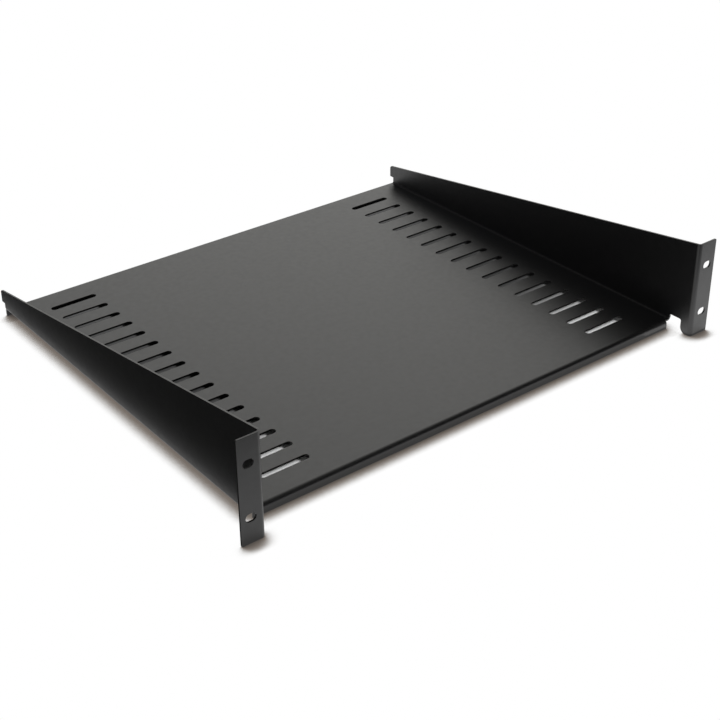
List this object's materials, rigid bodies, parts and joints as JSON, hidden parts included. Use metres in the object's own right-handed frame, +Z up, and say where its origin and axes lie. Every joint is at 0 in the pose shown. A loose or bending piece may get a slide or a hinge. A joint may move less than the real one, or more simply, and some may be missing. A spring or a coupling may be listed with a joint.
{
  "type": "vented rack shelf",
  "caption": "Folded sheet shelf for a server rack: slotted deck, walls that slope down to the back, turned-down lips and two slotted ears.",
  "frame": {"origin": "centre of the four ear slots, on the ears' back face, which lies against the rack rails", "axes": "+X across the rack along the ears, +Y into the rack from the ears to the back lip, +Z up from the deck"},
  "size_m": [0.4826, 0.4079, 0.0874],
  "materials": {
    "shelf": "satin black powder coat"
  },
  "bodies": {
    "root": {"shelf": "shelf"}
  },
  "joints": []
}
